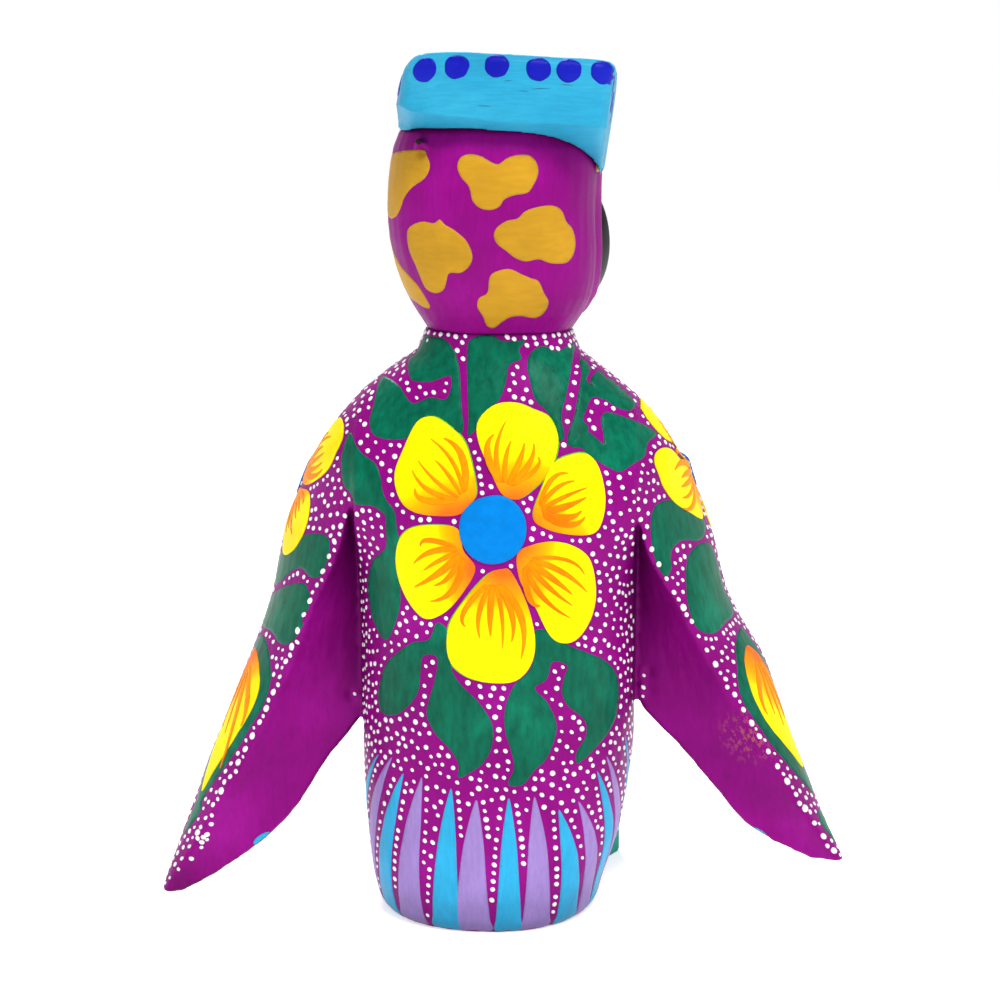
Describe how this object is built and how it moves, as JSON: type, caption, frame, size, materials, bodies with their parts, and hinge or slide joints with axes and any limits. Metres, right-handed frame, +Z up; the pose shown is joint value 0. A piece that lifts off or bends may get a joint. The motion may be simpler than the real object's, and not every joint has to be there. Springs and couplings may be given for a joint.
{
  "type": "carved wooden owl figure",
  "caption": "Small hand-carved, painted wooden owl standing on its tail and feet, wings hung out from the shoulders, flowers, leaves and dots painted on the back.",
  "frame": {"origin": "on the floor in the flat underside of the body, on its middle plane", "axes": "+Z up, the owl faces -Y, its left wing is on +X"},
  "size_m": [0.1228, 0.0558, 0.15],
  "materials": {
    "purple_paint": "hand-brushed satin acrylic over sanded soft wood",
    "turquoise_paint": "hand-brushed satin acrylic over sanded soft wood",
    "black_paint": "gloss-varnished black acrylic over wood",
    "ochre_paint": "matt acrylic",
    "teal_paint": "satin acrylic over wood",
    "bare_wood": "unpainted sanded soft wood",
    "brad_steel": "dulled steel with traces of paint",
    "green_paint": "satin acrylic film",
    "yellow_paint": "satin acrylic film",
    "orange_paint": "satin acrylic film",
    "blue_paint": "satin acrylic film",
    "lilac_paint": "satin acrylic film",
    "sky_paint": "satin acrylic film",
    "white_paint": "raised acrylic dots"
  },
  "bodies": {
    "root": {"body": "purple_paint", "head": "purple_paint", "brow": "turquoise_paint", "wing_left": "purple_paint", "wing_right": "purple_paint", "eye_left": "black_paint", "eye_right": "black_paint", "beak": "ochre_paint", "foot_left": "teal_paint", "foot_right": "teal_paint", "neck_dowel": "bare_wood", "wing_dowel_left_upper": "bare_wood", "wing_dowel_left_lower": "bare_wood", "wing_dowel_right_upper": "bare_wood", "wing_dowel_right_lower": "bare_wood", "brow_dowel_left": "bare_wood", "brow_dowel_right": "bare_wood", "beak_peg": "bare_wood", "foot_peg_left": "bare_wood", "foot_peg_right": "bare_wood", "brad_left": "brad_steel", "brad_right_upper": "brad_steel", "brad_right_lower": "brad_steel", "brad_brow": "brad_steel"}
  },
  "joints": []
}
